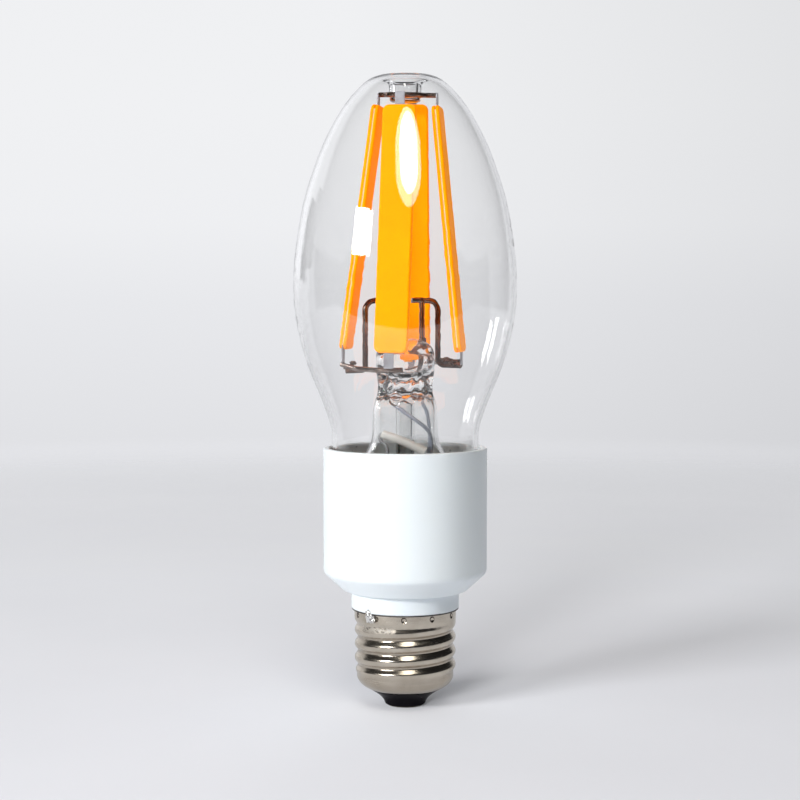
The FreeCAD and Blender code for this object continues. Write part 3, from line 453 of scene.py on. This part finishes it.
def make_world():
    w = bpy.data.worlds.new("studio")
    scene.world = w
    w.use_nodes = True
    nt = w.node_tree
    nt.nodes.clear()
    out = nt.nodes.new("ShaderNodeOutputWorld")
    tc = add(nt, "ShaderNodeTexCoord")
    xyz = add(nt, "ShaderNodeSeparateXYZ", Vector=tc.outputs["Generated"])
    x, y, z = xyz.outputs
    # seen directly or through glass: the pale sweep, lighter upwards
    sweep = ramp(nt, fit(nt, z, -0.20, 0.30, 0.0, 1.0), [
        (0.0, (0.760, 0.765, 0.790)), (0.17, (0.725, 0.731, 0.758)), (0.29, (0.768, 0.774, 0.800)), (0.40, (0.805, 0.812, 0.838)),
        (0.49, (0.858, 0.865, 0.886)), (0.62, (0.872, 0.879, 0.896)), (1.0, (0.862, 0.869, 0.886))])
    side = fit(nt, x, -0.03, 0.25, 1.0, 0.865)
    side_col = add(nt, "ShaderNodeCombineColor", i0=side, i1=side, i2=side).outputs[0]
    sweep = mix_col(nt, 1.0, sweep, side_col, "MULTIPLY")
    # mirrored: bright sweep behind and floor below, dim room at the sides and in front
    ax = calc(nt, "ABSOLUTE", x)
    up = calc(nt, "MAXIMUM", z, 0.0)
    # the sweep reaches further round on the left
    turn = fit(nt, x, -0.1, 0.1, 0.28, 0.95)
    edge = calc(nt, "SUBTRACT", y, calc(nt, "ADD", calc(nt, "MULTIPLY", ax, turn), calc(nt, "MULTIPLY", up, 0.55)))
    behind = add(nt, "ShaderNodeMapRange", {"interpolation_type": "SMOOTHSTEP"}, Value=edge, From_Min=-0.05, From_Max=0.06, To_Min=0.0,
                 To_Max=1.0).outputs[0]
    low = calc(nt, "MINIMUM", calc(nt, "MULTIPLY", y, 0.44), calc(nt, "MULTIPLY", ax, -0.12))
    below = fit(nt, calc(nt, "SUBTRACT", low, z), -0.01, 0.015, 0.0, 1.0)
    bright = calc(nt, "MAXIMUM", behind, below)
    room = mix_col(nt, fit(nt, z, -0.1, 0.9, 0.0, 1.0), (0.020, 0.0205, 0.023), (0.010, 0.010, 0.011))
    mirrored = mix_col(nt, bright, room, (0.80, 0.808, 0.835))
    above = calc(nt, "MULTIPLY", fit(nt, z, -0.03, 0.04, 0.0, 1.0), fit(nt, y, 0.62, 0.78, 0.0, 1.0))
    gain = calc(nt, "ADD", fit(nt, x, 0.22, 0.55, 1.0, 0.82), calc(nt, "MULTIPLY", above, fit(nt, x, -0.55, -0.22, 0.33, 0.0)))
    gain_col = add(nt, "ShaderNodeCombineColor", i0=gain, i1=gain, i2=gain).outputs[0]
    mirrored = mix_col(nt, 1.0, mirrored, gain_col, "MULTIPLY")
    path = add(nt, "ShaderNodeLightPath")
    bounced = calc(nt, "GREATER_THAN", calc(nt, "ADD", path.outputs["Glossy Depth"], path.outputs["Diffuse Depth"]), 0.5)
    col = mix_col(nt, bounced, sweep, mirrored)
    bg = add(nt, "ShaderNodeBackground", Color=col, Strength=1.0)
    nt.links.new(bg.outputs[0], out.inputs["Surface"])


make_world()


def area_light(name, ref, direction, dist, size_x, size_y, radiance, color=(1.0, 1.0, 1.0), shape="RECTANGLE", glossy=True, only=None, diffuse=False, through=False):
    """A flat softbox seen from ref in that direction; radiance is what its face shows."""
    d = Vector(direction).normalized()
    data = bpy.data.lights.new(name, "AREA")
    data.shape = shape
    data.size = size_x
    data.size_y = size_y
    area = size_x * size_y * (math.pi / 4 if shape == "ELLIPSE" else 1.0)
    data.energy = radiance * area * math.pi
    data.color = color
    ob = bpy.data.objects.new(name, data)
    scene.collection.objects.link(ob)
    ob.location = Vector(ref) + d * dist
    z = d                       # the lamp shines along its own -Z
    xx = Vector((0, 0, 1)).cross(z).normalized()
    yy = z.cross(xx)
    ob.rotation_euler = Matrix((xx, yy, z)).transposed().to_euler()
    ob.visible_camera = False
    ob.visible_transmission = through
    ob.visible_glossy = glossy
    if only is not None:
        ob.visible_diffuse = diffuse
        ob.light_linking.receiver_collection = only
    return ob


def azel(az, el):
    """Unit direction from azimuth (0 towards the camera, positive to its right) and elevation, in degrees."""
    a, e = math.radians(az), math.radians(el)
    return (math.sin(a) * math.cos(e), -math.cos(a) * math.cos(e), math.sin(e))


clear = bpy.data.collections.new("clear_pieces")
for name in ("glass_envelope", "stem_glass", "exhaust_tube"):
    clear.objects.link(N[name])

# two softboxes light the lamp; the brighter middle of the upper one and two small ones behind only matter as glints in the glass
area_light("key", (-0.010, -0.025, 0.121), (-0.699, -0.652, 0.303), 1.50, 0.525, 0.311, 38.0)
area_light("top", (0.0, -0.022, 0.140), (0.05, -0.68, 0.73), 0.62, 0.305, 0.53, 4.2, (1.0, 0.97, 0.90), shape="ELLIPSE")
area_light("top_halo", (0.0, -0.022, 0.140), (0.05, -0.675, 0.735), 0.615, 0.30, 0.52, 6.5, (1.0, 0.97, 0.86), shape="ELLIPSE", only=clear)
area_light("top_core", (0.0, -0.022, 0.140), (0.058, -0.655, 0.755), 0.61, 0.215, 0.41, 24.0, shape="ELLIPSE", only=clear)
area_light("glint_a", (0.0, 0.0, 0.110), azel(-119.0, 13.5), 0.70, 0.060, 0.095, 22.0, only=clear, through=True)
area_light("glint_b", (0.0, 0.0, 0.110), azel(-130.5, 10.5), 0.70, 0.050, 0.080, 16.0, only=clear, through=True)
sweep_only = bpy.data.collections.new("sweep_only")
sweep_only.objects.link(floor)
# a third, soft lamp reaches the paper only and throws the faint shadow that runs back and to the right
area_light("fill", (0.0, 0.0, 0.06), azel(-17.5, 12.0), 1.0, 0.26, 0.18, 66.0, glossy=False, only=sweep_only, diffuse=True)


def flag(name, near, direction, dist, width, height):
    """A black card that keeps a small softbox off the near side of the glass."""
    z = Vector(direction).normalized()
    xx = Vector((0, 0, 1)).cross(z).normalized()
    yy = z.cross(xx)
    c = Vector(near) + z * dist
    me = bpy.data.meshes.new(name)
    me.from_pydata([c + xx * (sx * width / 2) + yy * (sy * height / 2) for sx, sy in ((-1, -1), (1, -1), (1, 1), (-1, 1))], [], [(0, 1, 2, 3)])
    ob = bpy.data.objects.new(name, me)
    scene.collection.objects.link(ob)
    m, nt, out = new_material(name)
    tone = noise_of(nt, coords(nt), 60.0, 2.0)
    plain(nt, out, Base_Color=mix_col(nt, tone, (0.015, 0.015, 0.016), (0.022, 0.022, 0.024)), Roughness=0.9, Specular_IOR_Level=0.0)
    me.materials.append(m)
    ob.visible_camera = False
    ob.visible_diffuse = False
    return ob


flag("flag_a", (-0.0240, -0.0141, 0.120), azel(-119.0, 13.5), 0.090, 0.020, 0.044)
flag("flag_b", (-0.0254, -0.0117, 0.117), azel(-130.5, 10.5), 0.060, 0.015, 0.034)


# ------------------------------------------------- beads, joints and a dark ring of painted shade
def finish_piece(ob, material, body="root"):
    ob.data.materials.append(material)
    for f in ob.data.polygons:
        f.use_smooth = True
    scene.collection.objects.link(ob)
    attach(ob, body)
    return ob


def lump(name, centre, radii, turn, seed, material, slot, rough=0.22, detail=4, squash_z=None):
    """Small lumpy bead of melted metal, in millimetres."""
    bm = bmesh.new()
    bmesh.ops.create_icosphere(bm, subdivisions=detail, radius=1.0)
    rot = Matrix.Rotation(math.radians(turn[0]), 3, "Z") @ Matrix.Rotation(math.radians(turn[1]), 3, "Y")
    off = Vector((seed * 7.3, seed * 3.1, seed * 5.7))
    for v in bm.verts:
        d = v.co.normalized()
        k = 1.0 + rough * noise.noise(d * 1.6 + off) + 0.5 * rough * noise.noise(d * 4.1 + off)
        q = Vector((d.x * radii[0], d.y * radii[1], d.z * radii[2])) * k
        v.co = (rot @ q + Vector(centre)) * MM
    me = bpy.data.meshes.new(name)
    bm.to_mesh(me)
    bm.free()
    return finish_piece(bpy.data.objects.new(name, me), material)


def ring_of(name, section, material, segments=96):
    """Ring turned round the lamp's axis from (r, z) corners in millimetres."""
    bm = bmesh.new()
    rows = []
    for i in range(segments):
        a = 2 * math.pi * i / segments
        rows.append([bm.verts.new((r * math.cos(a) * MM, r * math.sin(a) * MM, z * MM)) for r, z in section])
    n = len(section)
    for i in range(segments):
        for j in range(n):
            bm.faces.new((rows[i][j], rows[(i + 1) % segments][j], rows[(i + 1) % segments][(j + 1) % n], rows[i][(j + 1) % n]))
    bmesh.ops.recalc_face_normals(bm, faces=bm.faces)
    me = bpy.data.meshes.new(name)
    bm.to_mesh(me)
    bm.free()
    return finish_piece(bpy.data.objects.new(name, me), material)


# dark ring of painted shade: it stands in for the shadow line under the neck ring, where it meets the shell's rim
ring_of("rim_shadow_ring", [(12.95, 25.06), (13.35, 25.04), (13.66, 25.10), (13.80, 25.22), (13.80, 25.36), (13.68, 25.46), (12.95, 25.44)],
        MAT["painted_shadow_line"])

SOLDER_DIR = Vector((math.cos(math.radians(-132.6)), math.sin(math.radians(-132.6)), 0.0))


def on_shell(r, shift, z):
    side = Vector((-SOLDER_DIR.y, SOLDER_DIR.x, 0.0))
    q = SOLDER_DIR * r + side * shift
    return (q.x, q.y, z)


blob = lump("solder_joint", on_shell(13.25, 0.05, 24.45), (1.00, 1.32, 1.78), (-132.6, 8.0), 3.0, MAT["solder"], "solder", 0.30, 5)
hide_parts("side_solder")
lump("solder_tail", on_shell(13.30, 0.95, 23.75), (0.50, 0.75, 0.60), (-132.6, 0.0), 5.0, MAT["solder"], "solder", 0.45)
lump("solder_cap", on_shell(13.45, -0.45, 25.75), (0.55, 0.75, 0.62), (-132.6, 0.0), 8.0, MAT["solder"], "solder", 0.40)



def burrs(name, count, first, r, z, big, small, material):
    """Raised burr round each of the shell's punched locks, one mesh. Dark and thickest on its upper side, it also
    paints the shade in each dent.
    """
    bm = bmesh.new()
    for k in range(count):
        a = math.radians(first + 360.0 * k / count)
        d = Vector((math.cos(a), math.sin(a), 0.0))
        side = Vector((-d.y, d.x, 0.0))
        up = Vector((0.0, 0.0, 1.0))
        rows = []
        for i in range(28):
            t = 2 * math.pi * i / 28
            rim = side * math.cos(t) + up * math.sin(t)
            w = 1.0 + 0.10 * noise.noise(rim * 1.7 + d * 5.0)
            row = []
            for j in range(8):
                q = 2 * math.pi * j / 8
                thick = small * (0.58 + 0.42 * math.cos(t - 2.2) + 0.25 * noise.noise(rim * 2.3 + d * 9.0))
                p = rim * (big * w + thick * math.cos(q)) + d * (thick * 0.75 * math.sin(q))
                p = p + d * (math.sqrt(max(r * r - p.dot(side) ** 2, 0.0)))
                row.append(bm.verts.new((p + up * z) * MM))
            rows.append(row)
        for i in range(28):
            for j in range(8):
                bm.faces.new((rows[i][j], rows[(i + 1) % 28][j], rows[(i + 1) % 28][(j + 1) % 8], rows[i][(j + 1) % 8]))
    bmesh.ops.recalc_face_normals(bm, faces=bm.faces)
    me = bpy.data.meshes.new(name)
    bm.to_mesh(me)
    bm.free()
    return finish_piece(bpy.data.objects.new(name, me), material)


# the burrs are dark and thickest on top, so they stand in for the shade in each punched dent: painted shade
burrs("punch_burrs", 11, -91.5, 13.12, 24.14, 0.62, 0.19, MAT["dark_lead"])

# welds of the lower mount
lump("weld_bar_left", (-13.35, -2.3, 88.72), (0.95, 0.60, 0.52), (-30.0, 4.0), 11.0, MAT["weld"], "mount_wire", 0.30)
lump("weld_tab_left", (-16.0, 0.0, 88.62), (0.50, 0.75, 0.42), (0.0, 0.0), 12.0, MAT["weld"], "mount_wire", 0.30)
lump("weld_foot_left", (-14.6, -1.15, 87.25), (1.30, 0.62, 0.42), (-18.0, 3.0), 13.0, MAT["weld"], "mount_wire", 0.30)
lump("weld_foot_right", (10.9, 0.55, 89.15), (2.05, 0.85, 0.80), (-14.0, 9.0), 14.0, MAT["weld"], "mount_wire", 0.34, 5)
lump("weld_foot_right_low", (12.9, 0.10, 88.30), (1.75, 0.80, 0.72), (-10.0, 8.0), 15.0, MAT["weld"], "mount_wire", 0.36, 5)
lump("weld_tab_right", (14.05, -0.25, 88.05), (0.62, 0.75, 0.80), (0.0, 0.0), 16.0, MAT["weld"], "mount_wire", 0.34)
lump("weld_tab_front", (-4.15, -13.95, 87.72), (0.80, 0.34, 0.42), (-10.0, 0.0), 17.0, MAT["weld"], "mount_wire", 0.26)
lump("weld_tab_back", (1.9, 14.15, 88.35), (0.80, 0.34, 0.45), (-10.0, 0.0), 18.0, MAT["weld"], "mount_wire", 0.26)
lump("bead_post_right", (4.45, 0.95, 93.9), (0.98, 0.95, 1.55), (0.0, 6.0), 19.0, MAT["weld"], "mount_wire", 0.26)
lump("bead_post_left", (-4.15, -0.93, 93.6), (0.88, 0.88, 0.95), (0.0, 0.0), 20.0, MAT["weld"], "mount_wire", 0.20)
# welds of the upper ring and of the hooks' ends on the posts
lump("weld_ring_front", (-1.30, -7.35, 156.35), (0.75, 0.32, 0.42), (-10.0, 0.0), 21.0, MAT["weld"], "mount_wire", 0.26)
lump("weld_ring_back", (1.75, 7.40, 158.0), (0.75, 0.32, 0.42), (-10.0, 0.0), 22.0, MAT["weld"], "mount_wire", 0.26)
lump("weld_ring_left", (-6.62, 1.40, 157.15), (0.30, 0.62, 0.42), (-10.0, 0.0), 23.0, MAT["weld"], "mount_wire", 0.26)
lump("weld_ring_right", (7.82, -1.40, 156.75), (0.30, 0.62, 0.42), (-10.0, 0.0), 24.0, MAT["weld"], "mount_wire", 0.26)
lump("weld_hook_right", (4.3, 1.05, 104.62), (0.92, 0.86, 0.80), (15.0, 0.0), 25.0, MAT["weld"], "mount_wire", 0.24)
lump("weld_hook_left", (-4.15, -0.93, 104.62), (0.92, 0.86, 0.80), (15.0, 0.0), 26.0, MAT["weld"], "mount_wire", 0.24)
